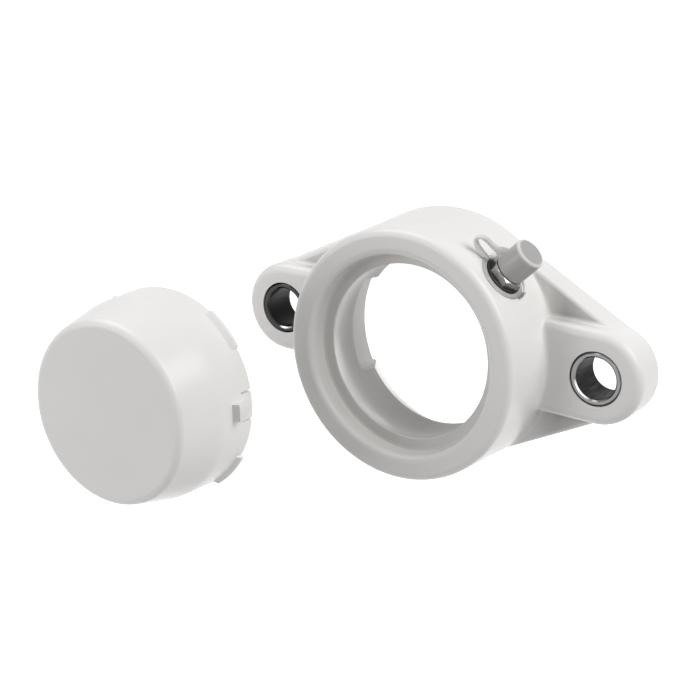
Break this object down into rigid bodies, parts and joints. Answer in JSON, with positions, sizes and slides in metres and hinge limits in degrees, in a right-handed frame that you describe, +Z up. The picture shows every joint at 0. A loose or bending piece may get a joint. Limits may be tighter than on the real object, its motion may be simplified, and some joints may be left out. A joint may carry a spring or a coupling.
{
  "type": "flange bearing housing",
  "caption": "Oval flange housing for a spherical insert bearing, with steel-sleeved bolt holes, a capped grease nipple and a snap-in end cover shown taken off.",
  "frame": {"origin": "on the bore's axis, in the plane of the mounting face", "axes": "+X along the bolts to the side of the nipple, +Y along the bore into the machine, +Z up"},
  "size_m": [0.1251, 0.0835, 0.0648],
  "materials": {
    "housing_plastic": "satin moulded",
    "cover_plastic": "satin moulded",
    "sleeve_steel": "rolled, bare",
    "insert_metal": "turned",
    "nipple_metal": "turned, dull",
    "ball_steel": "polished",
    "cap_plastic": "soft, matt",
    "strap_plastic": "soft, matt"
  },
  "bodies": {
    "flange_housing": {"housing": "housing_plastic", "bolt_sleeve_left": "sleeve_steel", "bolt_sleeve_right": "sleeve_steel", "grease_port_insert": "insert_metal", "nipple_body": "nipple_metal", "nipple_spring": "ball_steel", "cap_strap": "strap_plastic"},
    "cover": {"end_cover": "cover_plastic"},
    "dust_cap": {"nipple_cap": "cap_plastic"},
    "check_ball": {"nipple_ball": "ball_steel"}
  },
  "joints": [
    {"name": "cover_fitting", "type": "slide", "parent": "flange_housing", "child": "cover", "axis": [0.7668, 0.6274, 0.1357], "range_m": [0, 0.05451]},
    {"name": "cap_pull", "type": "slide", "parent": "flange_housing", "child": "dust_cap", "axis": [0.7071, 0, 0.7071], "range_m": [0, 0.0085], "deforming": ["cap_strap"]},
    {"name": "ball_press", "type": "slide", "parent": "flange_housing", "child": "check_ball", "axis": [-0.7071, 0, -0.7071], "range_m": [0, 0.0006], "stiffness_N_per_m": 20, "deforming": ["nipple_spring"]}
  ]
}
